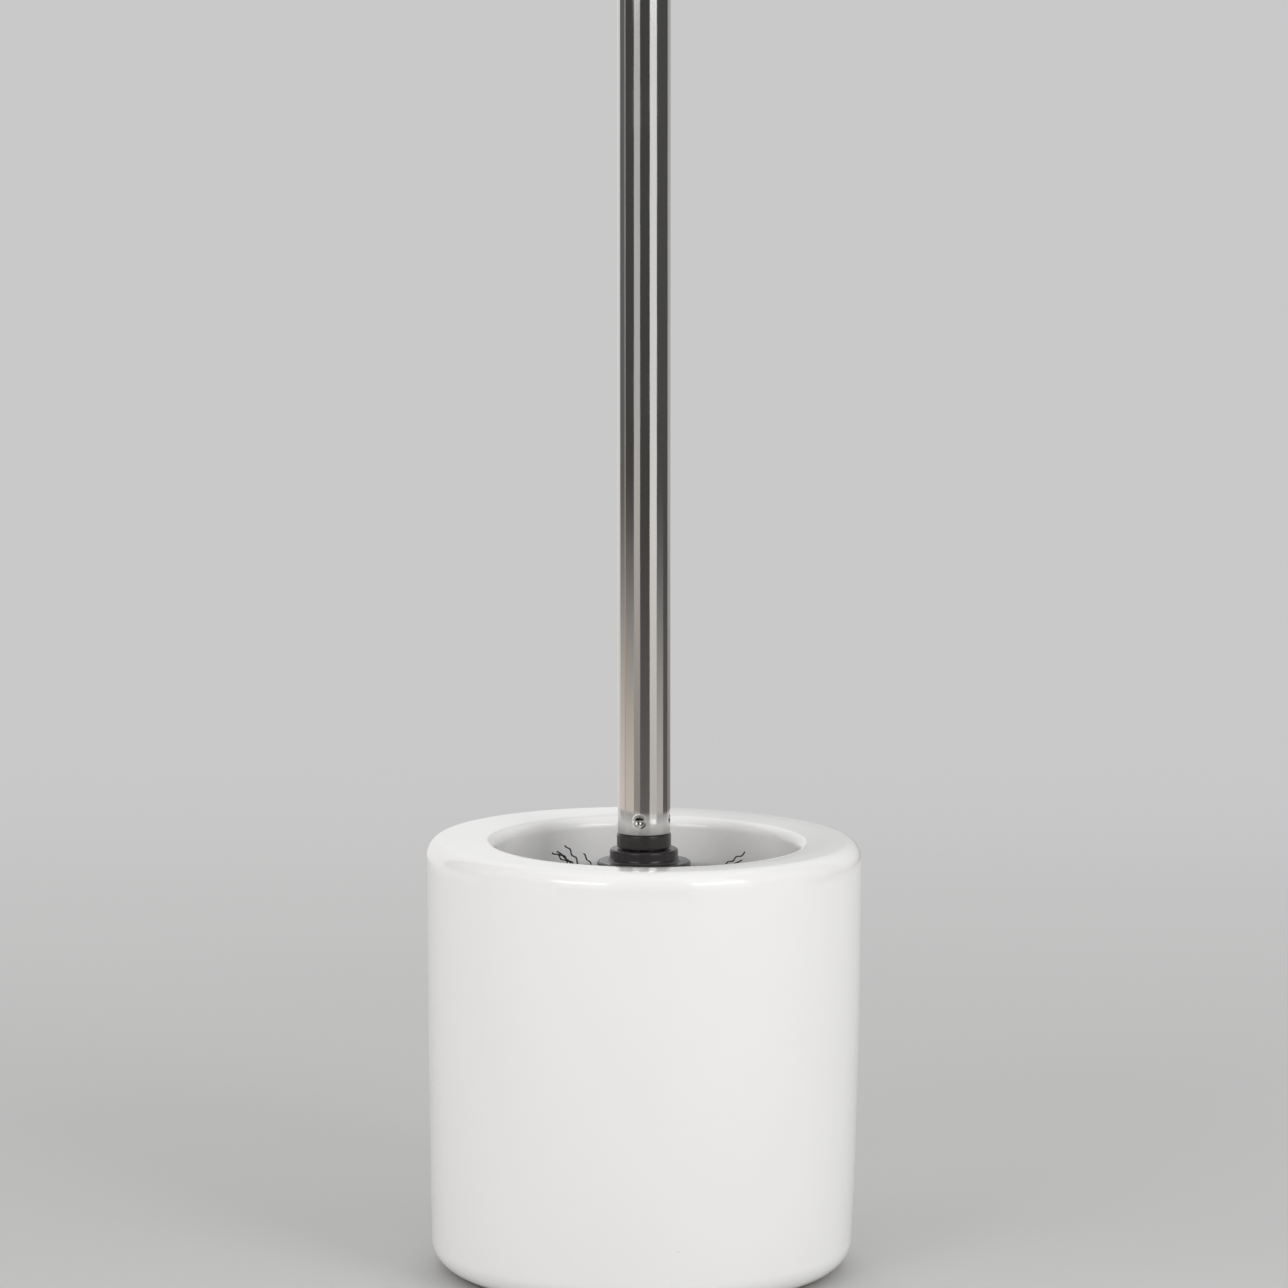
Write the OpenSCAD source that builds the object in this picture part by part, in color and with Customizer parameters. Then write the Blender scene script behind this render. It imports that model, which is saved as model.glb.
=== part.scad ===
// Toilet brush and its ceramic pot, standing on a flat surface with the brush in place.
// Origin at the centre of the footprint, +Z up along the handle. Millimetres.

/* [Pot] */
// Outer diameter at the widest part, just under the rim
pot_d = 99; // [97:0.5:115]
// Height of the rim above the surface the pot stands on
pot_h = 99.6; // [90:0.1:130]
// Loss of radius from the widest part down to the foot
pot_taper = 1.2; // [0:0.1:3]
// Diameter of the throat that the brush passes through
throat_d = 69.4; // [66.8:0.1:70]
// Thickness of the pot's wall
pot_wall = 6; // [4:0.5:6.5]
// Thickness of the pot's floor
pot_floor = 7; // [5:0.5:8]
// Depth of the turned-in rim at the throat
lip_depth = 14; // [11:0.5:16]

/* [Foot pads] */
// Diameter of one pad
pad_d = 12; // [8:0.5:16]
// Thickness of a pad
pad_t = 1.2; // [1:0.1:2]
// Distance of the pads' centres from the pot's axis
pad_r = 35; // [30:0.5:37]

/* [Handle] */
// Height of the top of the handle above the surface
overall_h = 380; // [300:1:430]
// Outer diameter of the tube
tube_d = 12; // [11:0.1:12.2]
// Wall thickness of the tube
tube_wall = 0.6; // [0.4:0.1:0.8]
// Height of the tube's lower edge
tube_z = 100.5; // [100.5:0.1:102.5]
// Height of the crimp dimples
dimple_z = 103.8; // [103.5:0.1:111.5]
// Angle of the first dimple from the front
dimple_turn = -10; // [-45:1:45]

/* [Ferrule] */
// Diameter of the ring that shows under the tube
ring_d = 12.4; // [12.3:0.1:13.2]
// Diameter of the stud that screws into the hub
stud_d = 8; // [7:0.1:8]
// Length of the stud
stud_l = 13; // [10:0.5:13]

/* [Brush head] */
// Diameter of the hub's collar
collar_d = 15.6; // [15:0.1:18]
// Diameter of the hub's core and flange
core_d = 21.4; // [21.4:0.1:23]
// Height of the collar's flat top
collar_z = 96.9; // [96.5:0.1:96.9]
// Diameter of the bristles from tip to tip
brush_d = 66; // [60:0.5:66]
// Tufts in a row
tufts_per_row = 10; // [8:1:10]
// Rows of tufts along the core
row_count = 8; // [6:1:8]
// Height of the top row's centre
row_z = 86; // [85:0.5:86.5]
// Distance between rows
row_pitch = 7.5; // [7.4:0.1:7.5]
// Diameter of a tuft's hole
tuft_hole_d = 3.2; // [2.6:0.1:3.2]
// Diameter of a tuft where it ends
tuft_tip_d = 9; // [6:0.5:9.5]

/* [Hidden] */
$fn = 96;

pot_r = pot_d / 2;
throat_r = throat_d / 2;
pot_in_r = pot_r - pot_wall;
floor_z = pad_t + pot_floor;

rim_out_a = 3.5;      // outer rounding of the rim, across
rim_out_b = 4;        // and down
slope_r = 45;         // long radius of the rim's slope towards the throat
slope_a = 9.2;        // steepness that the slope reaches, in degrees
corner_r = 2.5;       // rounding where the slope turns down into the throat
nose_r = 3.2;         // rounding under the rim at the throat
foot_a = 4.8;         // rounding of the foot, across
foot_b = 5.7;         // and up
cavity_fillet = 4;    // inside corners of the cavity
foot_hollow_r = 27;   // shallow hollow under the pot
foot_hollow_h = 1.2;

tube_in_r = tube_d / 2 - tube_wall;
cap_dome_h = 2.4;
cap_skirt_l = 9;
tube_top = overall_h - cap_dome_h;
dent_r = 1.4;         // radius of the punch that makes a dimple
dent_depth = 0.55;
dent_reach = tube_d / 2 + dent_r - dent_depth;

ring_z = 97.3;        // underside of the ferrule's ring
ring_chamfer = 0.3;
shank_l = 18;
shank_bore_r = 3;
shank_floor = 2;      // solid length below the bore
shank_clearance = 0.02;
neck_r = 5.2;
seat_gap = 0.05;      // gap between the ferrule's neck and the hub's collar
thread_clearance = 0.05;
stud_tip = collar_z - stud_l;

collar_r = collar_d / 2;
core_r = core_d / 2;
flange_z = 94.1;      // height of the flange's edge
collar_chamfer = 0.5;
core_end_z = 26;      // where the core's straight side ends
core_dome_h = 7;
socket_z = stud_tip - 0.8;
hole_root_r = 6.6;    // how near the axis a tuft's hole reaches

brush_r = brush_d / 2;
tuft_r = tuft_hole_d / 2;
tuft_tip_r = tuft_tip_d / 2;
anchor_t = 0.5;       // thickness of the flat wire
anchor_w = 3.6;       // width across the hole, so that it bites into the wall
anchor_h = 1.6;       // how far it stands up from the hole's bottom

// Rings of crown tufts on the domed end, as
// [count, place round the dome in degrees, slant below level, length, tip radius, first angle]
crown_outer = [8, 28, 32, 20, 3.4, 22.5];
crown_inner = [5, 62, 70, 10.5, 2.2, 0];
crown_hole_depth = 3.6;
centre_tuft_tip_r = 2.4;
brush_end_z = floor_z + 0.3;

// Points along a quarter or part of an ellipse, between two angles
function arc(cx, cz, a, b, from, to, steps) =
    [for (i = [0:steps]) let (t = from + (to - from) * i / steps) [cx + a * cos(t), cz + b * sin(t)]];

// Outer radius of the pot's wall, from 0 at the foot to 1 under the rim
function wall_r(t) = pot_r - pot_taper * pow(1 - t, 2.3);

module pot_outline() {
    side_low = pad_t + foot_b;
    side_high = pot_h - rim_out_b;
    crest_r = throat_r + corner_r * (1 - sin(slope_a)) + slope_r * sin(slope_a);
    corner_z = pot_h - slope_r * (1 - cos(slope_a)) - corner_r * cos(slope_a);
    foot_r = wall_r(0);
    side_steps = 10;
    polygon(concat(
        [[0, pad_t + foot_hollow_h], [foot_hollow_r, pad_t + foot_hollow_h], [foot_hollow_r + 2, pad_t]],
        arc(foot_r - foot_a, pad_t + foot_b, foot_a, foot_b, -90, 0, 10),
        [for (i = [1:side_steps - 1]) let (t = i / side_steps)
            [wall_r(t), side_low + t * (side_high - side_low)]],
        arc(pot_r - rim_out_a, side_high, rim_out_a, rim_out_b, 0, 90, 10),
        arc(crest_r, pot_h - slope_r, slope_r, slope_r, 90, 90 + slope_a * 5 / 6, 5),
        arc(throat_r + corner_r, corner_z, corner_r, corner_r, 90 + slope_a, 180, 8),
        arc(throat_r + nose_r, pot_h - lip_depth + nose_r, nose_r, nose_r, 180, 270, 8),
        arc(pot_in_r - cavity_fillet, pot_h - lip_depth - cavity_fillet,
            cavity_fillet, cavity_fillet, 90, 0, 6),
        arc(pot_in_r - pot_taper - cavity_fillet, floor_z + cavity_fillet,
            cavity_fillet, cavity_fillet, 0, -90, 6),
        [[0, floor_z]]
    ));
}

module pot() {
    color("white") rotate_extrude() pot_outline();
}

module foot_pads() {
    color("dimgray")
        for (a = [0:90:270]) rotate(a) translate([pad_r, 0, 0]) cylinder(d = pad_d, h = pad_t);
}

// Puts a child at each of the four dimples, with +X pointing outward
module at_dimples() {
    for (i = [0:3]) rotate(dimple_turn - 90 + 90 * i) translate([0, 0, dimple_z]) children();
}

module handle_tube() {
    color("silver") difference() {
        union() {
            difference() {
                translate([0, 0, tube_z]) cylinder(r = tube_d / 2, h = tube_top - tube_z);
                translate([0, 0, tube_z - 1]) cylinder(r = tube_in_r, h = tube_top - tube_z + 2);
            }
            intersection() {
                translate([0, 0, tube_z]) cylinder(r = tube_d / 2 - tube_wall / 2, h = shank_l);
                at_dimples() translate([dent_reach, 0, 0]) sphere(r = dent_r + tube_wall);
            }
        }
        at_dimples() translate([dent_reach, 0, 0]) sphere(r = dent_r);
    }
}

module handle_end_cap() {
    rim_r = tube_d / 2;
    skirt_wall = 0.5;
    dome_r = (rim_r * rim_r + cap_dome_h * cap_dome_h) / (2 * cap_dome_h);
    color("silver") {
        intersection() {
            translate([0, 0, overall_h - dome_r]) sphere(r = dome_r);
            translate([0, 0, tube_top]) cylinder(r = rim_r, h = cap_dome_h + 1);
        }
        difference() {
            translate([0, 0, tube_top - cap_skirt_l]) cylinder(r = tube_in_r, h = cap_skirt_l + 0.4);
            translate([0, 0, tube_top - cap_skirt_l - 1])
                cylinder(r = tube_in_r - skirt_wall, h = cap_skirt_l + 1);
        }
    }
}

module ferrule() {
    ring_r = ring_d / 2;
    stud_r = stud_d / 2;
    neck_z = collar_z + seat_gap;
    shank_r = tube_in_r - shank_clearance;
    shank_top = tube_z + shank_l;
    lead = 0.8;
    color("black") difference() {
        rotate_extrude() polygon([
            [0, stud_tip], [stud_r - lead, stud_tip], [stud_r, stud_tip + lead],
            [stud_r, neck_z], [neck_r, neck_z], [neck_r, ring_z],
            [ring_r - ring_chamfer / 2, ring_z], [ring_r, ring_z + ring_chamfer / 2],
            [ring_r, tube_z - ring_chamfer], [ring_r - ring_chamfer / 2, tube_z],
            [shank_r, tube_z], [shank_r, shank_top - lead], [shank_r - lead, shank_top],
            [0, shank_top]
        ]);
        translate([0, 0, tube_z + shank_floor]) cylinder(r = shank_bore_r, h = shank_l);
        at_dimples() translate([dent_reach, 0, 0]) sphere(r = dent_r + tube_wall + shank_clearance);
    }
}

// Puts a child at each tuft of one row: the child's +Z is the tuft's axis, from the hub's axis outward
module at_row(row) {
    stagger = (row % 2) * 180 / tufts_per_row;
    for (i = [0:tufts_per_row - 1])
        rotate(stagger + i * 360 / tufts_per_row)
            translate([0, 0, row_z - (row - 1) * row_pitch]) rotate([0, 90, 0]) children();
}

// The same for a ring of crown tufts, with the child's origin where the tuft leaves the dome
module at_crown(ring) {
    for (i = [0:ring[0] - 1])
        rotate(ring[5] + i * 360 / ring[0])
            translate([core_r * cos(ring[1]), 0, core_end_z - core_dome_h * sin(ring[1])])
                rotate([0, 90 + ring[2], 0]) children();
}

module at_crown_centre() {
    translate([0, 0, core_end_z - core_dome_h]) rotate([180, 0, 0]) children();
}

module crown_hole() {
    translate([0, 0, -crown_hole_depth]) cylinder(r = tuft_r, h = 2 * crown_hole_depth);
}

module hub_outline() {
    fillet_r = flange_z < collar_z - 1 ? 1 : 0.5;
    flange_edge = 0.6;
    polygon(concat(
        [[0, core_end_z - core_dome_h]],
        arc(0, core_end_z, core_r, core_dome_h, -90, 0, 12),
        [[core_r, flange_z - flange_edge]],
        arc(core_r - flange_edge, flange_z - flange_edge, flange_edge, flange_edge, 0, 90, 4),
        arc(collar_r + fillet_r, flange_z + fillet_r, fillet_r, fillet_r, 270, 180, 5),
        [[collar_r, collar_z - collar_chamfer], [collar_r - collar_chamfer, collar_z], [0, collar_z]]
    ));
}

module brush_hub() {
    socket_r = stud_d / 2 + thread_clearance;
    color("black") difference() {
        rotate_extrude() hub_outline();
        translate([0, 0, socket_z]) cylinder(r = socket_r, h = stud_l + 2);
        for (row = [1:row_count])
            at_row(row) translate([0, 0, hole_root_r]) cylinder(r = tuft_r, h = core_r);
        for (ring = [crown_outer, crown_inner])
            at_crown(ring) crown_hole();
        at_crown_centre() crown_hole();
    }
}

// A tuft: straight in its hole, then fanned out. Its wire anchor lies across its root
module tuft(depth, length, tip_r) {
    difference() {
        union() {
            translate([0, 0, -depth]) cylinder(r = tuft_r, h = depth + 0.5);
            translate([0, 0, 0.5]) cylinder(r1 = tuft_r, r2 = tip_r, h = length - 0.5);
        }
        translate([0, 0, -depth]) anchor_blank();
    }
}

module anchor_blank() {
    translate([-anchor_t / 2, -anchor_w / 2, 0]) cube([anchor_t, anchor_w, anchor_h]);
}

module bristle_row(row) {
    depth = core_r - hole_root_r;
    color("#1c1c1e") intersection() {
        at_row(row) translate([0, 0, core_r]) tuft(depth, brush_r - core_r, tuft_tip_r);
        cylinder(r = brush_r, h = pot_h);
    }
}

module bristle_crown_outer() {
    color("#1c1c1e") at_crown(crown_outer) tuft(crown_hole_depth, crown_outer[3], crown_outer[4]);
}

module bristle_crown_inner() {
    color("#1c1c1e") {
        at_crown(crown_inner) tuft(crown_hole_depth, crown_inner[3], crown_inner[4]);
        at_crown_centre()
            tuft(crown_hole_depth, core_end_z - core_dome_h - brush_end_z, centre_tuft_tip_r);
    }
}

module bristle_anchors() {
    color("darkgray") {
        for (row = [1:row_count]) at_row(row) translate([0, 0, hole_root_r]) anchor_blank();
        for (ring = [crown_outer, crown_inner])
            at_crown(ring) translate([0, 0, -crown_hole_depth]) anchor_blank();
        at_crown_centre() translate([0, 0, -crown_hole_depth]) anchor_blank();
    }
}

pot();
foot_pads();
handle_tube();
handle_end_cap();
ferrule();
brush_hub();
for (i = [1:row_count]) bristle_row(i);
bristle_crown_outer();
bristle_crown_inner();
bristle_anchors();
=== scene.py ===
"""The looks of a toilet brush in its ceramic pot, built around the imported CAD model. Metres throughout."""
import math

import bmesh
import bpy
import numpy as np
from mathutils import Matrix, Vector


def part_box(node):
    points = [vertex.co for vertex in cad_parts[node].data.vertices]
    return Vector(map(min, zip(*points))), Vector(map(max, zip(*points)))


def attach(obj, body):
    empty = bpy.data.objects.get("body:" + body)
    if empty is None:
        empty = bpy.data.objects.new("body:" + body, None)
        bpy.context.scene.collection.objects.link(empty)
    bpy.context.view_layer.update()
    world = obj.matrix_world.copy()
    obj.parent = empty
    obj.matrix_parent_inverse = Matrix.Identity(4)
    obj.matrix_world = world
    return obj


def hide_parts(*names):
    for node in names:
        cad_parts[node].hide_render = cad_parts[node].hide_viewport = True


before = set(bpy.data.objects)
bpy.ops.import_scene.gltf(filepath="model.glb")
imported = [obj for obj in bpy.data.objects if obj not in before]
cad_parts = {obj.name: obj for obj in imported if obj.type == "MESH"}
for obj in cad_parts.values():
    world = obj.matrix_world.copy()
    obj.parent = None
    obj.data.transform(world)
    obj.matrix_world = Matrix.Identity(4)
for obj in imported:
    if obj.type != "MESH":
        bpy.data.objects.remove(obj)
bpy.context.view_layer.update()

MM = 0.001
TAU = 2 * math.pi
rng = np.random.default_rng(7)


# ---------------------------------------------------------------- sizes from the CAD model
def cad_radius(node):
    low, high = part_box(node)
    return (high.x - low.x) / 2


def cad_span(node):
    low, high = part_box(node)
    return low.z, high.z


def cad_section(node, low, high):
    """(radius, height) of the node's vertices between two heights."""
    points = [v.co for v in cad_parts[node].data.vertices]
    return [(math.hypot(p.x, p.y), p.z) for p in points if low <= p.z <= high]


POT_R = cad_radius("pot")
POT_Z, RIM_Z = cad_span("pot")
TUBE_R = cad_radius("handle_tube")
TUBE_Z, TUBE_TOP = cad_span("handle_tube")
TOP_Z = cad_span("handle_end_cap")[1]
RING_R = cad_radius("ferrule")
HUB_R = cad_radius("brush_hub")
HUB_Z, HUB_TOP = cad_span("brush_hub")

LIP = cad_section("pot", RIM_Z - 18 * MM, RIM_Z)
THROAT_R = min(r for r, z in LIP)
FOOT_ROUND_H, RIM_ROUND_H = 5.7 * MM, 4.0 * MM
POT_TAPER, TAPER_POWER = 1.2 * MM, 2.3
LIP_UNDER = min(z for r, z in LIP if r < THROAT_R + 5 * MM)
TUBE_WALL = 0.6 * MM
RING_Z = min(z for r, z in cad_section("ferrule", HUB_TOP, TUBE_Z) if r > RING_R - 0.5 * MM)
COLLAR_R = max(r for r, z in cad_section("brush_hub", HUB_TOP - 1.2 * MM, HUB_TOP - 0.45 * MM))
FLANGE_Z = max(z for r, z in cad_section("brush_hub", HUB_TOP - 6 * MM, HUB_TOP) if r > HUB_R - 0.7 * MM)
DIMPLE_Z = TUBE_Z + 3.3 * MM
DIMPLE_TURN = math.radians(-10)
CORE_END_Z = HUB_Z + 7 * MM
CORE_DOME_H = CORE_END_Z - HUB_Z
ROWS = [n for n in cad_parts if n.startswith("bristle_row_")]
BRUSH_R = max(abs(c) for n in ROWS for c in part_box(n)[0][:2])
TUFTS_PER_ROW = 10
TUFT_HOLE_R = 1.6 * MM
HOLE_ROOT_R = 6.6 * MM
FILAMENT_R = 0.21 * MM


# ---------------------------------------------------------------- mesh helpers
def arc(cx, cz, a, b, start, end, steps):
    """Points along part of an ellipse, by its angles in degrees."""
    angles = [math.radians(start + (end - start) * i / steps) for i in range(steps + 1)]
    return [(cx + a * math.cos(t), cz + b * math.sin(t)) for t in angles]


def line(start, end, steps):
    """Points from start to end, both left out."""
    return [tuple(s + (e - s) * i / steps for s, e in zip(start, end)) for i in range(1, steps)]


def make_object(name, verts, faces, sharp=35):
    mesh = bpy.data.meshes.new(name)
    mesh.from_pydata([tuple(v) for v in verts], [], faces)
    mesh.update()
    mesh.shade_smooth()
    mesh.set_sharp_from_angle(angle=math.radians(sharp))
    obj = bpy.data.objects.new(name, mesh)
    bpy.context.scene.collection.objects.link(obj)
    return obj


def revolve(name, profile, segments=192, closed=True, shape=None, sharp=35):
    """Turns a profile of (radius, height) points about Z. A point on the axis becomes one vertex.
    shape(x, y, z) may move each vertex."""
    verts, rings = [], []
    for r, z in profile:
        if r < 1e-7:
            rings.append([len(verts)] * segments)
            verts.append((0, 0, z))
            continue
        rings.append(list(range(len(verts), len(verts) + segments)))
        for k in range(segments):
            t = TAU * k / segments
            verts.append((r * math.cos(t), r * math.sin(t), z))
    faces = []
    pairs = list(zip(rings, rings[1:] + rings[:1])) if closed else list(zip(rings, rings[1:]))
    for a, b in pairs:
        if a[0] == a[1] and b[0] == b[1]:
            continue
        for k in range(segments):
            n = (k + 1) % segments
            quad = [a[k], a[n], b[n], b[k]]
            faces.append([v for i, v in enumerate(quad) if v not in quad[:i]])
    if shape:
        verts = [shape(*v) for v in verts]
    return make_object(name, verts, faces, sharp)


# ---------------------------------------------------------------- material helpers
def new_material(name):
    mat = bpy.data.materials.new(name)
    mat.use_nodes = True
    nodes, links = mat.node_tree.nodes, mat.node_tree.links
    return mat, nodes, links, nodes["Principled BSDF"]


def add(nodes, kind, **values):
    """A node with its properties, or its inputs by name, set."""
    node = nodes.new(kind)
    for key, value in values.items():
        if key in node.inputs:
            node.inputs[key].default_value = value
        else:
            setattr(node, key, value)
    return node


def object_coords(nodes, links, scale=(1, 1, 1)):
    coords = nodes.new("ShaderNodeTexCoord")
    mapping = nodes.new("ShaderNodeMapping")
    mapping.inputs["Scale"].default_value = scale
    links.new(coords.outputs["Object"], mapping.inputs["Vector"])
    return mapping.outputs["Vector"]


def noise(nodes, links, vector, scale, detail=3.0, roughness=0.5):
    node = nodes.new("ShaderNodeTexNoise")
    node.inputs["Scale"].default_value = scale
    node.inputs["Detail"].default_value = detail
    node.inputs["Roughness"].default_value = roughness
    links.new(vector, node.inputs["Vector"])
    return node.outputs["Fac"]


def ramp(nodes, links, value, low, high, out_low, out_high):
    node = nodes.new("ShaderNodeMapRange")
    node.interpolation_type = "SMOOTHSTEP"
    node.inputs["From Min"].default_value = low
    node.inputs["From Max"].default_value = high
    node.inputs["To Min"].default_value = out_low
    node.inputs["To Max"].default_value = out_high
    links.new(value, node.inputs["Value"])
    return node.outputs["Result"]


def mix_colour(nodes, links, factor, first, second):
    node = nodes.new("ShaderNodeMix")
    node.data_type = "RGBA"
    for socket, value in ((node.inputs[6], first), (node.inputs[7], second)):
        if isinstance(value, tuple):
            socket.default_value = value
        else:
            links.new(value, socket)
    links.new(factor, node.inputs[0])
    return node.outputs[2]


def bump(nodes, links, height, strength, distance, normal=None):
    node = nodes.new("ShaderNodeBump")
    node.inputs["Strength"].default_value = strength
    node.inputs["Distance"].default_value = distance
    links.new(height, node.inputs["Height"])
    if normal:
        links.new(normal, node.inputs["Normal"])
    return node.outputs["Normal"]


def height_above(nodes, links):
    coords = nodes.new("ShaderNodeTexCoord")
    split = nodes.new("ShaderNodeSeparateXYZ")
    links.new(coords.outputs["Object"], split.inputs["Vector"])
    return split.outputs["Z"]


# ---------------------------------------------------------------- materials
def glaze_material():
    """White gloss glaze: slow waves and a faint orange peel, a few pinholes, and a thin warm edge
    at the foot, where the body shows unglazed."""
    mat, nodes, links, shader = new_material("pot_glaze")
    where = object_coords(nodes, links)
    cloud = noise(nodes, links, where, 22, 2)
    specks = add(nodes, "ShaderNodeTexVoronoi", feature="F1", Scale=190.0)
    links.new(where, specks.inputs["Vector"])
    chosen = noise(nodes, links, where, 61, 1)
    dot = ramp(nodes, links, specks.outputs["Distance"], 0.05, 0.11, 1, 0)
    rare = ramp(nodes, links, chosen, 0.70, 0.72, 0, 1)
    speck = add(nodes, "ShaderNodeMath", operation="MULTIPLY")
    links.new(dot, speck.inputs[0])
    links.new(rare, speck.inputs[1])
    white = mix_colour(nodes, links, cloud, (0.860, 0.852, 0.846, 1), (0.892, 0.886, 0.880, 1))
    spotted = mix_colour(nodes, links, speck.outputs[0], white, (0.30, 0.24, 0.19, 1))
    foot = ramp(nodes, links, height_above(nodes, links), POT_Z + 0.25 * MM, POT_Z + 0.75 * MM, 1, 0)
    links.new(mix_colour(nodes, links, foot, spotted, (0.60, 0.545, 0.475, 1)), shader.inputs["Base Color"])
    links.new(ramp(nodes, links, foot, 0, 1, 0.11, 0.75), shader.inputs["Roughness"])
    shader.inputs["IOR"].default_value = 1.52
    shader.inputs["Coat Weight"].default_value = 0.35
    shader.inputs["Coat Roughness"].default_value = 0.04
    waves = bump(nodes, links, noise(nodes, links, where, 34, 2), 0.35, 0.35 * MM)
    peel = bump(nodes, links, noise(nodes, links, where, 420, 2), 0.10, 0.05 * MM, waves)
    pits = bump(nodes, links, speck.outputs[0], -0.4, 0.12 * MM, peel)
    links.new(pits, shader.inputs["Normal"])
    return mat


def steel_material():
    """Polished stainless tube, drawn lengthwise: long fine lines along Z in its roughness and relief."""
    mat, nodes, links, shader = new_material("polished_steel")
    drawn = object_coords(nodes, links, (1, 1, 0.012))
    fine = noise(nodes, links, drawn, 5200, 4, 0.6)
    broad = noise(nodes, links, object_coords(nodes, links, (1, 1, 0.05)), 420, 3)
    smudge = noise(nodes, links, object_coords(nodes, links), 60, 4)
    tone = mix_colour(nodes, links, fine, (0.60, 0.585, 0.57, 1), (0.68, 0.67, 0.66, 1))
    links.new(tone, shader.inputs["Base Color"])
    shader.inputs["Metallic"].default_value = 1.0
    total = add(nodes, "ShaderNodeMath", operation="ADD")
    links.new(ramp(nodes, links, fine, 0.3, 0.7, 0.055, 0.10), total.inputs[0])
    links.new(ramp(nodes, links, smudge, 0.45, 0.75, 0.0, 0.05), total.inputs[1])
    links.new(total.outputs[0], shader.inputs["Roughness"])
    lines = bump(nodes, links, fine, 0.10, 0.02 * MM)
    links.new(bump(nodes, links, broad, 0.12, 0.05 * MM, lines), shader.inputs["Normal"])
    return mat


def moulded_material(name, tone, rough):
    """Black moulded plastic with a fine spark-eroded grain and slight sinks."""
    mat, nodes, links, shader = new_material(name)
    where = object_coords(nodes, links)
    grain = noise(nodes, links, where, 3600, 2)
    sinks = noise(nodes, links, where, 160, 2)
    dark = tuple(0.75 * c for c in tone) + (1,)
    light = tuple(1.5 * c for c in tone) + (1,)
    links.new(mix_colour(nodes, links, sinks, dark, light), shader.inputs["Base Color"])
    links.new(ramp(nodes, links, grain, 0.3, 0.7, rough - 0.06, rough + 0.06), shader.inputs["Roughness"])
    fine = bump(nodes, links, grain, 0.18, 0.02 * MM)
    links.new(bump(nodes, links, sinks, 0.25, 0.08 * MM, fine), shader.inputs["Normal"])
    return mat


def bristle_material():
    """Black nylon filament with a low gloss and slight changes of tone along its length."""
    mat, nodes, links, shader = new_material("bristle")
    where = object_coords(nodes, links)
    cloud = noise(nodes, links, where, 500, 2)
    tone = mix_colour(nodes, links, cloud, (0.007, 0.007, 0.008, 1), (0.020, 0.019, 0.019, 1))
    links.new(tone, shader.inputs["Base Color"])
    rough = ramp(nodes, links, noise(nodes, links, where, 2500, 1), 0.3, 0.7, 0.30, 0.42)
    links.new(rough, shader.inputs["Roughness"])
    return mat


def foam_material():
    """Dark closed-cell foam with fine open pores on its cut faces."""
    mat, nodes, links, shader = new_material("foot_pad")
    where = object_coords(nodes, links)
    cells = add(nodes, "ShaderNodeTexVoronoi", feature="F1", Scale=2600.0)
    links.new(where, cells.inputs["Vector"])
    edge = cells.outputs["Distance"]
    tone = mix_colour(nodes, links, edge, (0.022, 0.022, 0.023, 1), (0.085, 0.084, 0.082, 1))
    links.new(tone, shader.inputs["Base Color"])
    rough = ramp(nodes, links, noise(nodes, links, where, 900, 2), 0.3, 0.7, 0.82, 0.95)
    links.new(rough, shader.inputs["Roughness"])
    links.new(bump(nodes, links, edge, 0.6, 0.10 * MM), shader.inputs["Normal"])
    return mat


def wire_material():
    """Galvanised flat wire, a soft grey with a faint spangle."""
    mat, nodes, links, shader = new_material("anchor_wire")
    where = object_coords(nodes, links)
    spangle = noise(nodes, links, where, 1800, 2)
    tone = mix_colour(nodes, links, spangle, (0.46, 0.46, 0.45, 1), (0.62, 0.62, 0.61, 1))
    links.new(tone, shader.inputs["Base Color"])
    shader.inputs["Metallic"].default_value = 1.0
    links.new(ramp(nodes, links, spangle, 0.3, 0.7, 0.32, 0.5), shader.inputs["Roughness"])
    return mat


GLAZE = glaze_material()
STEEL = steel_material()
FERRULE_PLASTIC = moulded_material("ferrule_plastic", (0.025, 0.021, 0.0215), 0.22)
HUB_PLASTIC = moulded_material("hub_plastic", (0.022, 0.0185, 0.019), 0.22)
BRISTLE = bristle_material()
FOAM = foam_material()
WIRE = wire_material()


def finish_piece(obj, material, body, slot, *replaced):
    obj.data.materials.clear()
    obj.data.materials.append(material)
    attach(obj, body)
    if replaced:
        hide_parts(*replaced)
    return obj


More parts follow.
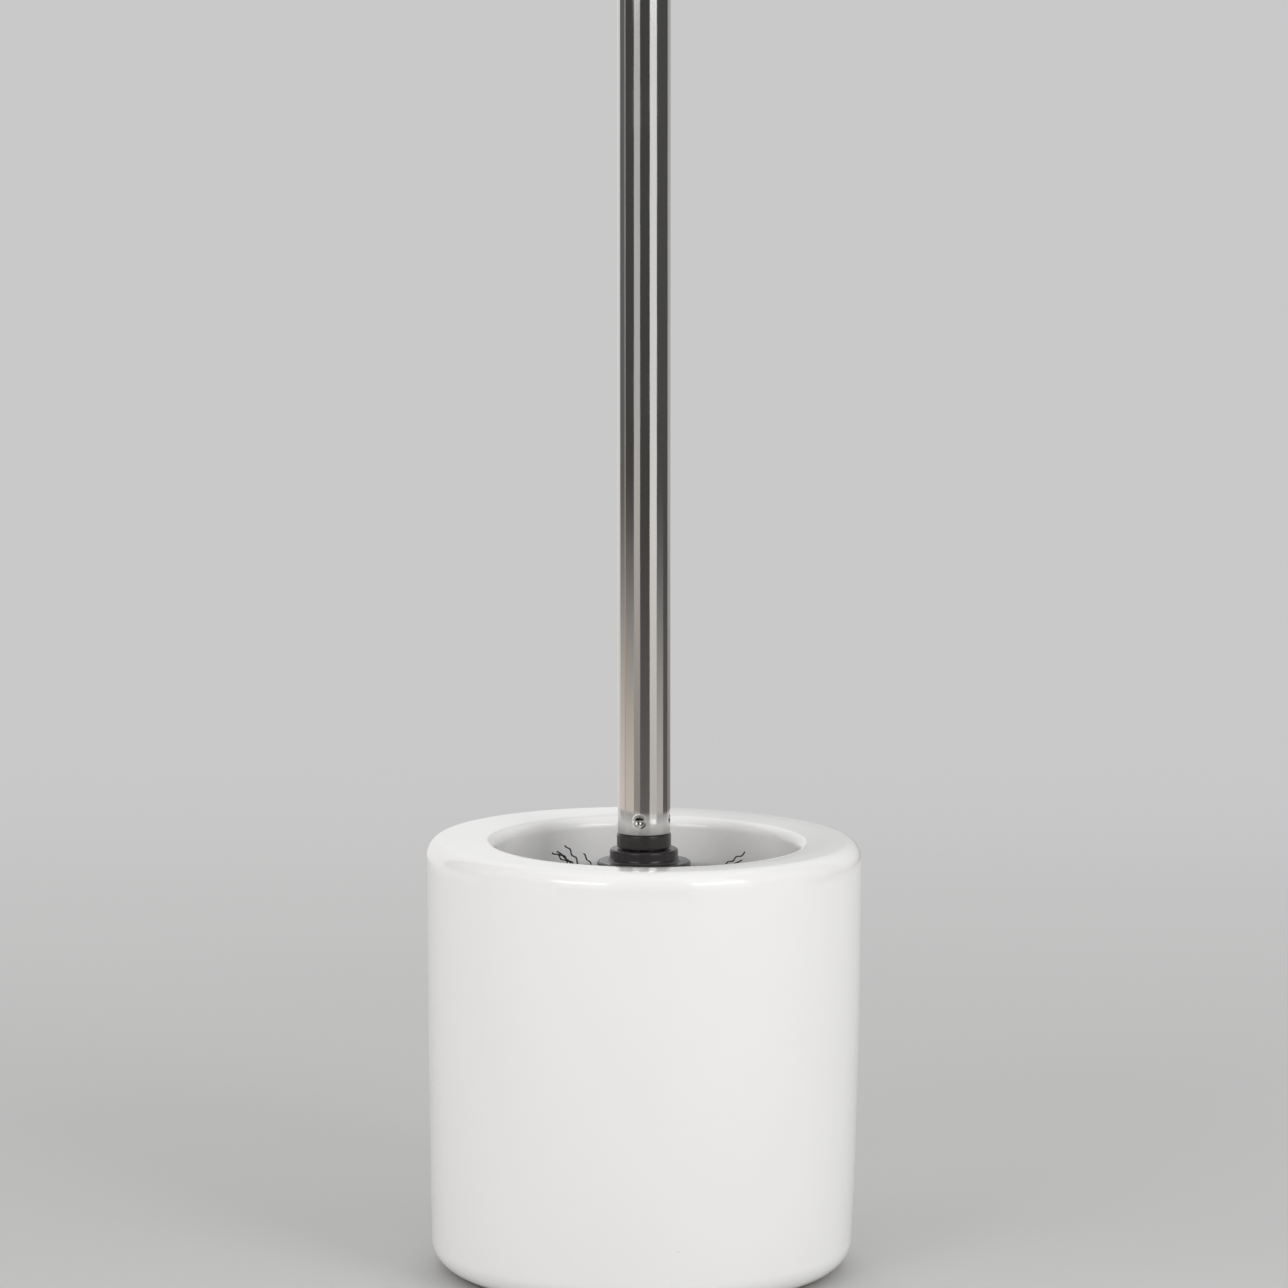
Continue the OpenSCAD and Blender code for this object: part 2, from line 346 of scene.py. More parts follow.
# ---------------------------------------------------------------- the pot
def pot_profile():
    """The pot's section from the axis under the foot, up the outside, over the rim, and down inside
    to the axis."""
    foot_a, foot_b = 4.8 * MM, FOOT_ROUND_H
    rim_out_a, rim_out_b = 3.5 * MM, RIM_ROUND_H
    slope_r, slope_a, corner_r = 45 * MM, 9.2, 2.5 * MM
    nose, fillet = 3.2 * MM, 4 * MM
    taper, wall, floor_t = POT_TAPER, 6 * MM, 7 * MM
    hollow_r, hollow_h, hollow_edge = 27 * MM, 1.2 * MM, 1.6 * MM
    foot_in_r = hollow_r + 2 * hollow_edge
    side_low, side_high = POT_Z + foot_b, RIM_Z - rim_out_b
    foot_r = POT_R - taper
    inner_r = POT_R - wall
    floor_z = POT_Z + floor_t
    steep = math.radians(slope_a)
    crest_r = THROAT_R + corner_r * (1 - math.sin(steep)) + slope_r * math.sin(steep)
    corner_z = RIM_Z - slope_r * (1 - math.cos(steep)) - corner_r * math.cos(steep)
    side = [
        (POT_R - taper * (1 - t) ** TAPER_POWER, side_low + t * (side_high - side_low))
        for t in [i / 40 for i in range(1, 40)]
    ]
    return (
        [(0, POT_Z + hollow_h)]
        + line((0, POT_Z + hollow_h), (hollow_r, POT_Z + hollow_h), 6)
        + arc(hollow_r, POT_Z + hollow_h / 2, hollow_edge, hollow_h / 2, 90, 0, 6)
        + arc(foot_in_r, POT_Z + hollow_h / 2, hollow_edge, hollow_h / 2, 180, 270, 6)
        + line((foot_in_r, POT_Z), (foot_r - foot_a, POT_Z), 8)
        + arc(foot_r - foot_a, side_low, foot_a, foot_b, -90, 0, 20)
        + side
        + arc(POT_R - rim_out_a, side_high, rim_out_a, rim_out_b, 0, 90, 20)
        + arc(crest_r, RIM_Z - slope_r, slope_r, slope_r, 90, 90 + slope_a, 16)[:-1]
        + arc(THROAT_R + corner_r, corner_z, corner_r, corner_r, 90 + slope_a, 180, 18)
        + line((THROAT_R, corner_z), (THROAT_R, LIP_UNDER + nose), 10)
        + arc(THROAT_R + nose, LIP_UNDER + nose, nose, nose, 180, 270, 12)
        + line((THROAT_R + nose, LIP_UNDER), (inner_r - fillet, LIP_UNDER), 3)
        + arc(inner_r - fillet, LIP_UNDER - fillet, fillet, fillet, 90, 0, 8)
        + line((inner_r, LIP_UNDER - fillet), (inner_r - taper, floor_z + fillet), 12)
        + arc(inner_r - taper - fillet, floor_z + fillet, fillet, fillet, 0, -90, 8)
        + line((inner_r - taper - fillet, floor_z), (0, floor_z), 6)
        + [(0, floor_z)]
    )


def clamp(value):
    return min(1, max(0, value))


def slump(x, y, z):
    """Slip-cast unevenness: the right of the rim sits a little lower, the mouth is a little off centre,
    and the side leans to the left towards the foot. The lean stays within the taper, so inside the CAD
    model's box."""
    rim_drop, mouth_shift, foot_lean = 0.7 * MM, 0.7 * MM, 0.55 * MM
    high = clamp((z - 0.8 * RIM_Z) / (0.2 * RIM_Z))
    ease = high * high * (3 - 2 * high)
    inner = clamp((POT_R - 4 * MM - math.hypot(x, y)) / (6 * MM))
    drop = rim_drop * ease * (0.5 + 0.5 * x / POT_R)
    side_low, side_high = POT_Z + FOOT_ROUND_H, RIM_Z - RIM_ROUND_H
    below = 1 - clamp((z - side_low) / (side_high - side_low))
    lean = foot_lean * below ** TAPER_POWER
    return x + mouth_shift * ease * inner - lean, y, z - drop


def make_pot():
    pot = revolve("pot_body", pot_profile(), 256, closed=False, shape=slump, sharp=60)
    return finish_piece(pot, GLAZE, "pot", "pot_glaze", "pot")


# ---------------------------------------------------------------- the handle
def make_tube():
    """The tube: a drawn wall with a lightly rolled lower edge, and four punched dimples near it."""
    segments = 288
    inner_r = TUBE_R - TUBE_WALL
    edge = 0.22 * MM
    dent_r, dent_depth = 1.4 * MM, 0.55 * MM
    reach = math.sqrt(dent_r ** 2 - (dent_r - dent_depth) ** 2)
    brim_depth, brim_width = 0.05 * MM, 0.35 * MM
    dent_span = 2.4 * MM
    low, high = DIMPLE_Z - dent_span, DIMPLE_Z + dent_span
    profile = (
        arc(inner_r + edge, TUBE_Z + edge, edge, edge, 180, 270, 4)
        + arc(TUBE_R - edge, TUBE_Z + edge, edge, edge, 270, 360, 5)
        + line((TUBE_R, TUBE_Z + edge), (TUBE_R, low), 4)
        + [(TUBE_R, low)]
        + line((TUBE_R, low), (TUBE_R, high), 56)
        + [(TUBE_R, high)]
        + line((TUBE_R, high), (TUBE_R, TUBE_TOP - edge), 24)
        + arc(TUBE_R - edge, TUBE_TOP - edge, edge, edge, 0, 90, 5)
        + arc(inner_r + edge, TUBE_TOP - edge, edge, edge, 90, 180, 4)
        + line((inner_r, TUBE_TOP - edge), (inner_r, TUBE_Z + edge), 24)
    )

    def punch(x, y, z):
        """Presses the outer face in at the four dimples, each with a soft brim."""
        r = math.hypot(x, y)
        on_outer_face = r > TUBE_R - 0.01 * MM
        if not on_outer_face or abs(z - DIMPLE_Z) > dent_span:
            return x, y, z
        t = math.atan2(y, x)
        depth = 0.0
        for k in range(4):
            at = DIMPLE_TURN - math.pi / 2 + k * math.pi / 2
            off = (t - at + math.pi) % TAU - math.pi
            d = math.hypot(off * TUBE_R, z - DIMPLE_Z)
            if d < reach:
                depth = max(depth, math.sqrt(dent_r ** 2 - d * d) - (dent_r - dent_depth))
            else:
                depth = max(depth, brim_depth * math.exp(-((d - reach) / brim_width) ** 2))
        scale = (r - depth) / r
        return x * scale, y * scale, z

    tube = revolve("handle_tube_wall", profile, segments, closed=True, shape=punch, sharp=50)
    return finish_piece(tube, STEEL, "handle", "polished_steel", "handle_tube")


def make_end_cap():
    """The pressed dome that closes the tube: a soft shoulder, a shallow dome and its skirt in the tube."""
    inner_r = TUBE_R - TUBE_WALL
    rise = TOP_Z - TUBE_TOP
    seam = 0.12 * MM
    skirt_l, skirt_t = 9 * MM, 0.5 * MM
    under_z = TUBE_TOP - 0.6 * MM
    dome = [
        ((TUBE_R - 0.05 * MM) * math.sin(t) ** 0.72, TUBE_TOP + seam + (rise - seam) * math.cos(t) ** 1.05)
        for t in [math.radians(90 - a) for a in np.linspace(0, 89.5, 30)]
    ]
    profile = (
        [(0, under_z), (inner_r - skirt_t, under_z)]
        + line((inner_r - skirt_t, under_z), (inner_r - skirt_t, TUBE_TOP - skirt_l), 6)
        + arc(inner_r - skirt_t / 2, TUBE_TOP - skirt_l, skirt_t / 2, skirt_t / 2, 180, 360, 6)
        + line((inner_r, TUBE_TOP - skirt_l), (inner_r, TUBE_TOP), 6)
        + [(inner_r, TUBE_TOP + seam / 2), (TUBE_R - 0.25 * MM, TUBE_TOP + seam / 2)]
        + dome
        + [(0, TOP_Z)]
    )
    cap = revolve("handle_cap_dome", profile, 128, closed=False, sharp=40)
    return finish_piece(cap, STEEL, "handle", "polished_steel", "handle_end_cap")


def make_ferrule():
    """The black plug: a ring with a bevelled upper edge, a slim neck, a shank in the tube and a stud
    in the hub."""
    ring_top = TUBE_Z
    bevel, low_bevel = 0.40 * MM, 0.2 * MM
    neck_r, neck_z = 5.2 * MM, HUB_TOP + 0.05 * MM
    shank_r, shank_top = TUBE_R - TUBE_WALL - 0.02 * MM, TUBE_Z + 18 * MM
    stud_r, stud_z, lead = 4.0 * MM, cad_span("ferrule")[0], 0.8 * MM
    bore_r, bore_z = 3 * MM, TUBE_Z + 2 * MM
    relief, relief_span = 0.62 * MM, 3 * MM
    profile = (
        [(0, stud_z), (stud_r - lead, stud_z), (stud_r, stud_z + lead)]
        + line((stud_r, stud_z + lead), (stud_r, neck_z), 8)
        + [(stud_r, neck_z), (neck_r, neck_z), (neck_r, RING_Z)]
        + arc(RING_R - low_bevel, RING_Z + low_bevel, low_bevel, low_bevel, 270, 360, 5)
        + line((RING_R, RING_Z + low_bevel), (RING_R, ring_top - bevel), 4)
        + arc(RING_R - bevel, ring_top - bevel, bevel, bevel, 0, 90, 6)
        + [(shank_r, ring_top)]
        + line((shank_r, ring_top), (shank_r, shank_top - lead), 8)
        + [(shank_r, shank_top - lead), (shank_r - lead, shank_top), (bore_r, shank_top)]
        + line((bore_r, shank_top), (bore_r, bore_z), 6)
        + [(bore_r, bore_z), (0, bore_z)]
    )

    def clear_dimples(x, y, z):
        """The shank is waisted where the tube is punched into it."""
        r = math.hypot(x, y)
        if r < shank_r - 0.05 * MM or abs(z - DIMPLE_Z) > relief_span:
            return x, y, z
        scale = (shank_r - relief) / r
        return x * scale, y * scale, z

    ferrule = revolve("ferrule_plug", profile, 160, closed=False, shape=clear_dimples, sharp=38)
    return finish_piece(ferrule, FERRULE_PLASTIC, "handle", "ferrule_plastic", "ferrule")


# ---------------------------------------------------------------- the brush head
def row_height(row):
    low, high = cad_span(f"bristle_row_{row}")
    return (low + high) / 2


def row_angles(row):
    stagger = (row % 2) * math.pi / TUFTS_PER_ROW
    return [stagger + TAU * i / TUFTS_PER_ROW for i in range(TUFTS_PER_ROW)]


def row_tufts(row):
    """(mouth of the hole, axis of the tuft) for each tuft of a row."""
    z = row_height(row)
    out = []
    for t in row_angles(row):
        axis = Vector((math.cos(t), math.sin(t), 0))
        out.append((axis * HUB_R + Vector((0, 0, z)), axis))
    return out


def crown_tufts(count, place, slant, first):
    """The same for a ring of tufts on the hub's domed end."""
    place, slant = math.radians(place), math.radians(slant)
    out = []
    for i in range(count):
        t = math.radians(first) + TAU * i / count
        around = Vector((math.cos(t), math.sin(t), 0))
        height = CORE_END_Z - CORE_DOME_H * math.sin(place)
        mouth = around * (HUB_R * math.cos(place)) + Vector((0, 0, height))
        out.append((mouth, around * math.cos(slant) - Vector((0, 0, math.sin(slant)))))
    return out


CROWN_OUTER = crown_tufts(8, 28, 32, 22.5)
CROWN_INNER = crown_tufts(5, 62, 70, 0) + [(Vector((0, 0, HUB_Z)), Vector((0, 0, -1)))]
CROWN_HOLE_DEPTH = 3.6 * MM


def frame_of(axis):
    """Two directions square to axis, the first of them level."""
    side = Vector((0, 0, 1)).cross(axis)
    side = side.normalized() if side.length > 1e-6 else Vector((1, 0, 0))
    return side, axis.cross(side).normalized()


def make_hub():
    """The moulding: collar with an eased edge, fillet, flange, core with its drilled holes, domed end
    and socket."""
    fillet, flange_edge, chamfer = 1.0 * MM, 0.6 * MM, 0.5 * MM
    socket_r, socket_z = 4.05 * MM, cad_span("ferrule")[0] - 0.8 * MM
    profile = (
        [(0, HUB_Z)]
        + arc(0, CORE_END_Z, HUB_R, CORE_DOME_H, -87, 0, 26)
        + line((HUB_R, CORE_END_Z), (HUB_R, FLANGE_Z - flange_edge), 48)
        + arc(HUB_R - flange_edge, FLANGE_Z - flange_edge, flange_edge, flange_edge, 0, 90, 8)
        + arc(COLLAR_R + fillet, FLANGE_Z + fillet, fillet, fillet, 270, 180, 10)
        + line((COLLAR_R, FLANGE_Z + fillet), (COLLAR_R, HUB_TOP - chamfer), 3)
        + arc(COLLAR_R - chamfer, HUB_TOP - chamfer, chamfer, chamfer, 0, 90, 7)
        + line((COLLAR_R - chamfer, HUB_TOP), (socket_r, HUB_TOP), 4)
        + [(socket_r, HUB_TOP), (socket_r, socket_z), (0, socket_z)]
    )
    hub = revolve("hub_moulding", profile, 180, closed=False, sharp=40)
    cutters = bmesh.new()
    holes = [(m, a, HUB_R - HOLE_ROOT_R) for row in range(1, len(ROWS) + 1) for m, a in row_tufts(row)]
    holes += [(m, a, CROWN_HOLE_DEPTH) for m, a in CROWN_OUTER + CROWN_INNER]
    for mouth, axis, depth in holes:
        made = bmesh.ops.create_cone(
            cutters, cap_ends=True, segments=28, radius1=TUFT_HOLE_R, radius2=TUFT_HOLE_R, depth=depth * 2
        )
        turn = axis.to_track_quat("Z", "Y").to_matrix().to_4x4()
        bmesh.ops.transform(cutters, matrix=turn, verts=made["verts"])
        bmesh.ops.translate(cutters, vec=mouth, verts=made["verts"])
    mesh = bpy.data.meshes.new("hub_cutters")
    cutters.to_mesh(mesh)
    cutters.free()
    cutter = bpy.data.objects.new("hub_cutters", mesh)
    bpy.context.scene.collection.objects.link(cutter)
    cut = hub.modifiers.new("holes", "BOOLEAN")
    cut.operation, cut.object, cut.solver = "DIFFERENCE", cutter, "EXACT"
    apply_modifiers(hub)
    bpy.data.objects.remove(cutter)
    hub.data.shade_smooth()
    hub.data.set_sharp_from_angle(angle=math.radians(38))
    return finish_piece(hub, HUB_PLASTIC, "head", "hub_plastic", "brush_hub")


def apply_modifiers(obj):
    """Replaces the object's mesh with what its modifiers make of it."""
    done = bpy.data.meshes.new_from_object(obj.evaluated_get(bpy.context.evaluated_depsgraph_get()))
    old = obj.data
    obj.modifiers.clear()
    obj.data = done
    bpy.data.meshes.remove(old)


# ---------------------------------------------------------------- bristles
CRIMP_PITCH = 2.3 * MM
CRIMP_DEPTH = 0.24 * MM
POINTS_PER_WAVE = 4
SIDES = 3


def hole_spots(count):
    """Places for the filaments in a round hole, packed as a sunflower's seeds."""
    i = np.arange(count) + 0.5
    r = (TUFT_HOLE_R - FILAMENT_R) * np.sqrt(i / count)
    t = i * math.pi * (3 - math.sqrt(5))
    return np.stack([r * np.cos(t), r * np.sin(t)], 1)


def tube_mesh(paths, radius):
    """Vertices and faces of one thin tube along each path. paths is (filaments, points, 3)."""
    count, points, _ = paths.shape
    along = paths[:, -1] - paths[:, 0]
    along /= np.linalg.norm(along, axis=1, keepdims=True)
    helper = np.where(np.abs(along[:, 2:3]) < 0.9, np.array([[0, 0, 1.0]]), np.array([[1.0, 0, 0]]))
    u = np.cross(along, helper)
    u /= np.linalg.norm(u, axis=1, keepdims=True)
    v = np.cross(along, u)
    angle = TAU * np.arange(SIDES) / SIDES
    ring = u[:, None] * np.cos(angle)[None, :, None] + v[:, None] * np.sin(angle)[None, :, None]
    verts = (paths[:, :, None] + radius * ring[:, None]).reshape(-1, 3)
    base = (np.arange(count * points) * SIDES).reshape(count, points)
    a = base[:, :-1].ravel()
    b = base[:, 1:].ravel()
    faces = []
    for k in range(SIDES):
        n = (k + 1) % SIDES
        faces.append(np.stack([a + k, a + n, b + n, b + k], 1))
    quads = np.concatenate(faces)
    caps = np.concatenate([base[:, :1] + np.arange(SIDES)[::-1], base[:, -1:] + np.arange(SIDES)])
    return verts, quads, caps


def fast_object(name, verts, quads, caps):
    mesh = bpy.data.meshes.new(name)
    loops = np.concatenate([quads.ravel(), caps.ravel()]).astype(np.int32)
    cap_starts = len(quads) * 4 + np.arange(len(caps)) * SIDES
    starts = np.concatenate([np.arange(len(quads)) * 4, cap_starts]).astype(np.int32)
    mesh.vertices.add(len(verts))
    mesh.vertices.foreach_set("co", verts.astype(np.float32).ravel())
    mesh.loops.add(len(loops))
    mesh.loops.foreach_set("vertex_index", loops)
    mesh.polygons.add(len(starts))
    mesh.polygons.foreach_set("loop_start", starts)
    mesh.update(calc_edges=True)
    mesh.validate()
    mesh.shade_smooth()
    obj = bpy.data.objects.new(name, mesh)
    bpy.context.scene.collection.objects.link(obj)
    return obj


def crimp(paths, direction):
    """Adds the filament's crimp, a flat wave square to its run, each with its own phase and plane."""
    count = len(paths)
    steps = np.linalg.norm(np.diff(paths, axis=1), axis=2)
    run = np.concatenate([np.zeros((count, 1)), np.cumsum(steps, axis=1)], axis=1)
    helper = np.where(np.abs(direction[:, 2:3]) < 0.9, np.array([[0, 0, 1.0]]), np.array([[1.0, 0, 0]]))
    u = np.cross(direction, helper)
    u /= np.linalg.norm(u, axis=1, keepdims=True)
    v = np.cross(direction, u)
    plane = rng.uniform(0, TAU, (count, 1))
    across = u * np.cos(plane) + v * np.sin(plane)
    phase = rng.uniform(0, TAU, (count, 1))
    pitch = CRIMP_PITCH * rng.uniform(0.92, 1.08, (count, 1))
    wave = np.sin(TAU * run / pitch + phase) * CRIMP_DEPTH
    fade = np.clip(run / (2 * MM), 0, 1)
    return paths + across[:, None] * (wave * fade)[:, :, None]


def fan(mouth, axis, depth, count, tip_r, flare_side, flare_up, lift=0.0, reach=None):
    """The filaments of one tuft: straight in the hole, then spread, and cut off on the brush's round."""
    mouth, axis = np.array(mouth), np.array(axis)
    side, up = (np.array(d) for d in frame_of(Vector(axis)))
    spots = hole_spots(count)
    spread = spots / TUFT_HOLE_R
    tilt = rng.normal(0, 0.035, (count, 2))
    slope_s = spread[:, 0] * flare_side + tilt[:, 0]
    slope_u = spread[:, 1] * flare_up + tilt[:, 1] + lift
    if reach is None:
        root_r = np.linalg.norm(mouth[:2])
        a = 1 + slope_s ** 2
        b = 2 * root_r
        c = root_r ** 2 - tip_r ** 2
        length = (-b + np.sqrt(b * b - 4 * a * c)) / (2 * a)
    else:
        length = np.full(count, reach)
    length = length - rng.uniform(0, 1.1 * MM, count)
    points = max(8, int((depth + length.max()) / CRIMP_PITCH * POINTS_PER_WAVE))
    t = np.linspace(0, 1, points)
    run = -depth * 0.85 + t[None] * (length + depth * 0.85)[:, None]
    out = np.clip(run, 0, None)
    bend = out ** 1.15 / (length[:, None] ** 0.15)
    base = mouth + spots[:, :1] * side + spots[:, 1:] * up
    paths = (
        base[:, None]
        + run[:, :, None] * axis
        + (bend * slope_s[:, None])[:, :, None] * side
        + (bend * slope_u[:, None])[:, :, None] * up
    )
    direction = axis + slope_s[:, None] * side + slope_u[:, None] * up
    direction /= np.linalg.norm(direction, axis=1, keepdims=True)
    return crimp(paths, direction)


def join_tufts(name, tufts, node):
    parts = [tube_mesh(p, FILAMENT_R) for p in tufts]
    verts, quads, caps, offset = [], [], [], 0
    for v, q, c in parts:
        verts.append(v)
        quads.append(q + offset)
        caps.append(c + offset)
        offset += len(v)
    obj = fast_object(name, np.concatenate(verts), np.concatenate(quads), np.concatenate(caps))
    return finish_piece(obj, BRISTLE, "head", "bristle", node)


FILAMENTS_PER_TUFT = 50


def make_row(row):
    """One row of tufts. The top one stays flat below the flange, and the lowest fans down towards
    the crown."""
    depth = HUB_R - HOLE_ROOT_R
    tip_r, flare_side = BRUSH_R - 0.3 * MM, 0.42
    flare_up, lift = {1: (0.05, -0.09), len(ROWS): (0.40, -0.13)}.get(row, (0.27, 0.0))
    tufts = []
    for mouth, axis in row_tufts(row):
        tufts.append(fan(mouth, axis, depth, FILAMENTS_PER_TUFT, tip_r, flare_side, flare_up, lift))
    if row == 1:
        tufts += stray_filaments()
    return join_tufts(f"bristles_{row}", tufts, f"bristle_row_{row}")


def stray_filaments():
    """A few bent filaments that stand up out of the top row, as (turn from the front in degrees, how far
    out the tip is from the hub to the throat, how far up it is from the row's top to the rim)."""
    strays = [
        (-105, 0.46, 0.50), (-101, 0.40, 0.56), (-110, 0.42, 0.44), (-98, 0.31, 0.74), (-122, 0.24, 0.40),
        (103, 0.55, 0.48), (97, 0.50, 0.34),
    ]
    top_row = row_height(1)
    row_top = cad_span("bristle_row_1")[1]
    t = np.linspace(0, 1, 44)[:, None]
    out = []
    for turn, reach, rise in strays:
        at = math.radians(turn - 90)
        level = np.array([math.cos(at), math.sin(at), 0])
        up = np.array([0, 0, 1.0])
        root = level * (HUB_R + 0.2 * MM) + up * top_row
        tip_out, tip_up = reach * (THROAT_R - HUB_R), rise * (RIM_Z - row_top)
        tip = level * (HUB_R + tip_out) + up * (row_top + tip_up)
        knee = level * (HUB_R + 0.50 * tip_out) + up * (row_top + 0.30 * tip_up)
        path = ((1 - t) ** 2 * root + 2 * t * (1 - t) * knee + t ** 2 * tip)[None]
        direction = (tip - knee)[None] / np.linalg.norm(tip - knee)
        out.append(crimp(path, direction))
    return out


def make_crown(name, tufts, reach, flare, node):
    """A ring of tufts on the domed end. No filament goes below the CAD tufts' lowest point."""
    filaments = [
        fan(mouth, axis, CROWN_HOLE_DEPTH, FILAMENTS_PER_TUFT, None, flare, flare, 0.0, reach)
        for mouth, axis in tufts
    ]
    floor = cad_span("bristle_crown_inner")[0]
    for paths in filaments:
        paths[:, :, 2] = np.maximum(paths[:, :, 2], floor + FILAMENT_R)
    return join_tufts(name, filaments, node)


# ---------------------------------------------------------------- foot pads
def make_pads():
    """Four stick-on foam pads, squeezed a little by the pot's weight."""
    low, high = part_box("foot_pads")
    pad_r = 6 * MM
    centre_r = high.x - pad_r
    bulge = 0.12 * MM
    soft = 0.25 * MM
    r = pad_r - bulge
    side_h = high.z - low.z - 2 * soft
    side = [
        (r + bulge * math.sin(math.pi * i / 6), low.z + soft + side_h * i / 6)
        for i in range(1, 6)
    ]
    profile = (
        [(0, low.z)]
        + line((0, low.z), (r - soft, low.z), 4)
        + arc(r - soft, low.z + soft, soft, soft, 270, 350, 5)
        + side
        + arc(r - soft, high.z - soft, soft, soft, 10, 90, 5)
        + line((r - soft, high.z), (0, high.z), 4)
        + [(0, high.z)]
    )
    pads = []
    for k in range(4):
        at = TAU * k / 4
        pad = revolve(f"foot_pad_{k + 1}", profile, 48, closed=False, sharp=50)
        for v in pad.data.vertices:
            v.co += Vector((centre_r * math.cos(at), centre_r * math.sin(at), 0))
        pads.append(finish_piece(pad, FOAM, "pot", "foot_pad", "foot_pads"))
    return pads


make_pot()
make_tube()
make_end_cap()
make_ferrule()
make_hub()
for number in range(1, len(ROWS) + 1):
    make_row(number)
make_crown("bristles_crown_outer", CROWN_OUTER, reach=19 * MM, flare=0.60, node="bristle_crown_outer")
make_crown("bristles_crown_inner", CROWN_INNER, reach=9.6 * MM, flare=0.42, node="bristle_crown_inner")
make_pads()

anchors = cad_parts["bristle_anchors"]
anchors.data.materials.clear()
anchors.data.materials.append(WIRE)


# ---------------------------------------------------------------- floor, light and camera
SKY = 0.58  # brightness of the studio all round, and of the floor far out


def make_floor():
    """A pale floor that meets the studio's brightness far out, so that no horizon shows."""
    size = 12.0
    corners = [(-size, -size, 0), (size, -size, 0), (size, size, 0), (-size, size, 0)]
    floor = make_object("floor", corners, [[0, 1, 2, 3]])
    mat, nodes, links, shader = new_material("floor_paint")
    where = object_coords(nodes, links)
    shader.inputs["Roughness"].default_value = 0.85
    shader.inputs["Specular IOR Level"].default_value = 0.2
    cloud = noise(nodes, links, where, 3, 2)
    tone = mix_colour(nodes, links, cloud, (0.54, 0.54, 0.537, 1), (0.56, 0.56, 0.557, 1))
    links.new(tone, shader.inputs["Base Color"])
    far = add(nodes, "ShaderNodeVectorMath", operation="LENGTH")
    links.new(where, far.inputs[0])
    glow = add(nodes, "ShaderNodeEmission", Strength=SKY)
    blend = nodes.new("ShaderNodeMixShader")
    links.new(ramp(nodes, links, far.outputs["Value"], 0.2, 0.9, 0, 1), blend.inputs[0])
    links.new(shader.outputs[0], blend.inputs[1])
    links.new(glow.outputs[0], blend.inputs[2])
    links.new(blend.outputs[0], nodes["Material Output"].inputs["Surface"])
    mat.cycles.emission_sampling = "NONE"
    floor.data.materials.append(mat)


def make_reflection_cards():
    """Studio panels and flags round the object, seen only in reflections. Each is (from, to, brightness,
    brightness near the floor, tint near the floor), in degrees from the front, positive to the right."""
    warm, pale = (1, 0.93, 0.85, 1), (1, 0.965, 0.93, 1)
    panels = [
        (-180, -126, 0.85, 0.85, pale),
        (-126, -93, 0.16, 0.85, warm),
        (-93, -87, 0.42, 0.70, (1, 0.72, 0.52, 1)),
        (-87, -44, 0.075, 0.78, warm),
        (-44, -17, 0.62, 0.36, warm),
        (-17, 25, 0.075, 0.15, pale),
        (25, 57, 0.95, 0.68, pale),
        (57, 92, 0.09, 0.62, pale),
        (92, 124, 0.09, 0.14, pale),
        (124, 180, 0.50, 0.30, pale),
    ]
    radius, top = 0.6, 0.95
    for number, (start, end, light, low_light, tint) in enumerate(panels):
        steps = max(2, int((end - start) / 3))
        angles = [math.radians(-90 + start + (end - start) * i / steps) for i in range(steps + 1)]
        verts = [(radius * math.cos(t), radius * math.sin(t), z) for z in (0.001, top) for t in angles]
        n = steps + 1
        faces = [[i, i + 1, n + i + 1, n + i] for i in range(steps)]
        card = make_object(f"card_{number}", verts, faces)
        mat, nodes, links, _ = new_material(f"card_{number}")
        up = height_above(nodes, links)
        glow = nodes.new("ShaderNodeEmission")
        links.new(ramp(nodes, links, up, 0.0, 0.14, low_light, light), glow.inputs["Strength"])
        high = ramp(nodes, links, up, 0.02, 0.2, 0, 1)
        links.new(mix_colour(nodes, links, high, tint, (1, 1, 1, 1)), glow.inputs["Color"])
        links.new(glow.outputs[0], nodes["Material Output"].inputs["Surface"])
        mat.cycles.emission_sampling = "NONE"
        card.data.materials.append(mat)
        card.visible_camera = False
        card.visible_diffuse = False
        card.visible_shadow = False
        card.visible_transmission = False
        card.visible_volume_scatter = False


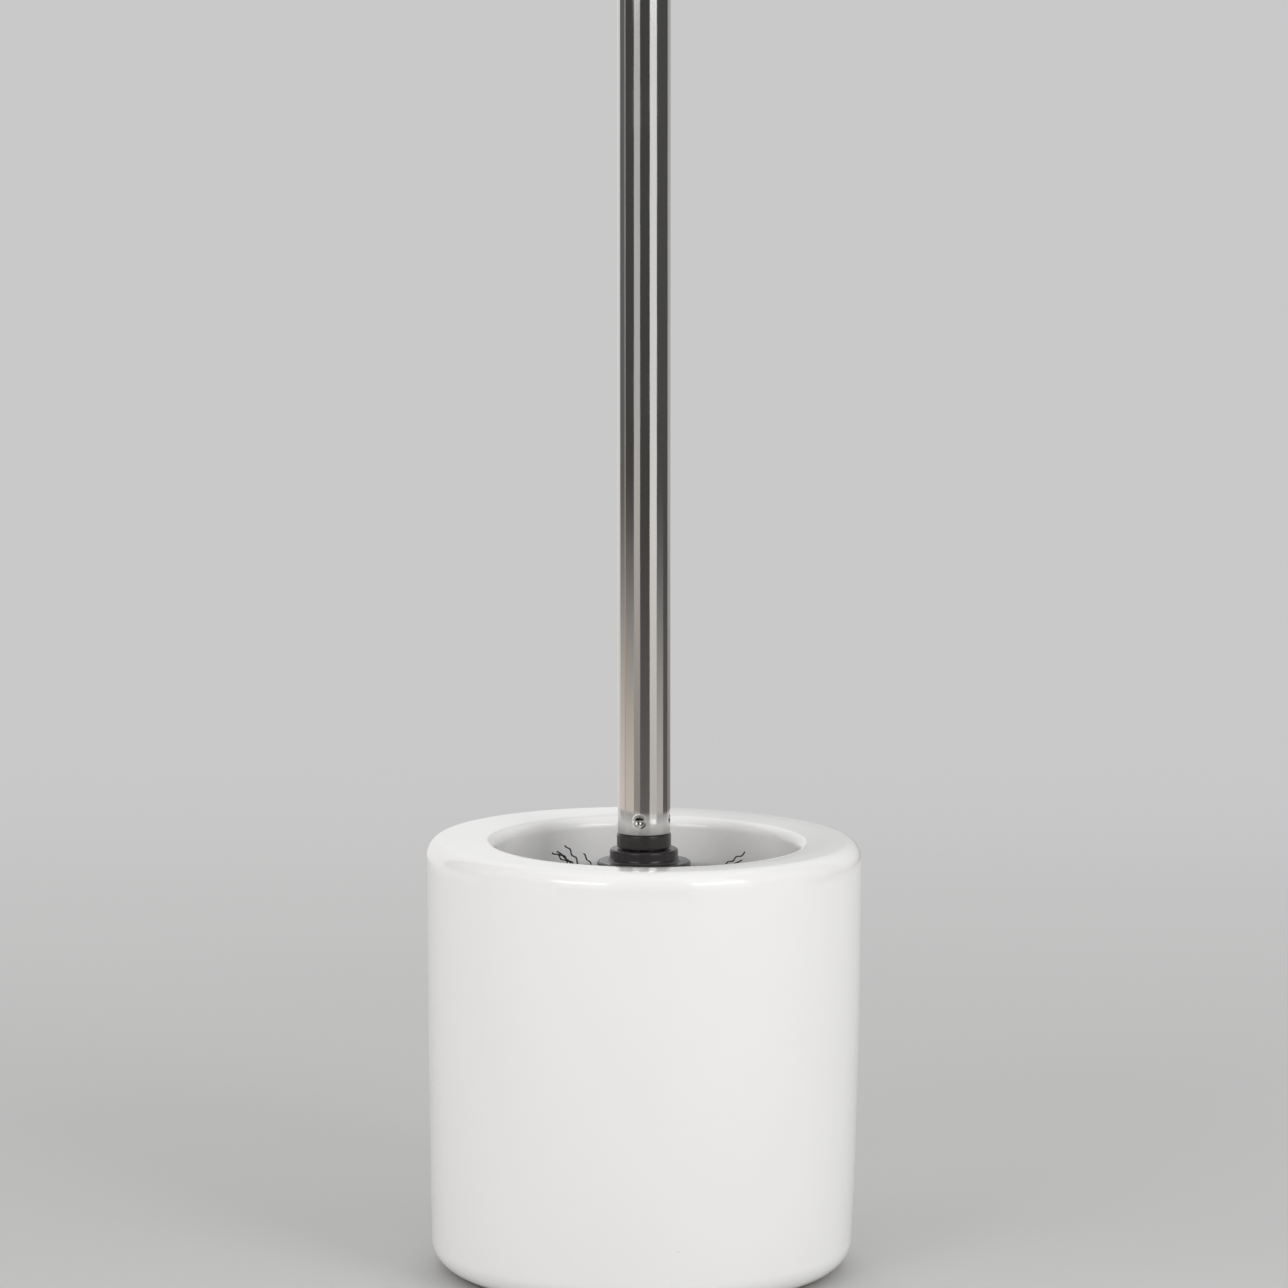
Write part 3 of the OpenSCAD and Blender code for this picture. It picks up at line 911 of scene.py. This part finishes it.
def make_softbox(name, azimuth, elevation, distance, width, height, power, colour=(1, 1, 1), mirrored=True):
    """An area light aimed at the pot's mouth. Azimuth is from the front, positive to the right. Power is
    in watts. One that isn't mirrored leaves no highlight, as a large diffuser would."""
    t, e = math.radians(azimuth - 90), math.radians(elevation)
    target = Vector((0, 0, 0.1))
    where = target + distance * Vector((math.cos(t) * math.cos(e), math.sin(t) * math.cos(e), math.sin(e)))
    light = bpy.data.lights.new(name, "AREA")
    light.shape, light.size, light.size_y = "RECTANGLE", width, height
    light.energy, light.color = power, colour
    obj = bpy.data.objects.new(name, light)
    obj.location = where
    obj.rotation_euler = (target - where).to_track_quat("-Z", "Y").to_euler()
    obj.visible_camera = False
    obj.visible_glossy = mirrored
    bpy.context.scene.collection.objects.link(obj)


def make_world():
    world = bpy.data.worlds.new("studio")
    world.use_nodes = True
    background = world.node_tree.nodes["Background"]
    background.inputs["Color"].default_value = (1, 1, 1, 1)
    background.inputs["Strength"].default_value = SKY
    bpy.context.scene.world = world


def make_camera():
    """The camera: in front and a little above, looking down at the handle's lower part."""
    distance, pitch, aim_z = 1.05, math.radians(6.75), 0.1438
    film_mm, lens_mm = 36, 129.2
    data = bpy.data.cameras.new("camera")
    data.sensor_width = film_mm
    data.lens = lens_mm
    data.clip_start = 0.01
    camera = bpy.data.objects.new("camera", data)
    camera.location = (0, -distance * math.cos(pitch), aim_z + distance * math.sin(pitch))
    camera.rotation_euler = (math.pi / 2 - pitch, 0, 0)
    bpy.context.scene.collection.objects.link(camera)
    bpy.context.scene.camera = camera


make_floor()
make_reflection_cards()
# name, azimuth, elevation, distance, width, height, power
make_softbox("softbox_left", -35, 26, 0.61, 0.30, 0.12, 0.30)
make_softbox("softbox_right", 41, 26, 0.61, 0.27, 0.12, 0.36)
make_softbox("key_left", -35, 23, 1.2, 0.40, 0.30, 1.3, mirrored=False)
make_softbox("key_right", 41, 23, 1.2, 0.40, 0.30, 2.4, mirrored=False)
make_softbox("fill_front", 4, 14, 1.3, 0.8, 0.5, 0.6, mirrored=False)
make_softbox("fill_left", -78, 17, 1.2, 0.8, 0.6, 2.4, (1, 0.965, 0.97), mirrored=False)
make_softbox("fill_right", 78, 20, 1.2, 0.8, 0.6, 1.9, mirrored=False)
make_softbox("fill_back", 180, 30, 1.3, 0.9, 0.6, 4.0, mirrored=False)
make_world()
make_camera()
bpy.context.scene.view_settings.view_transform = "Standard"
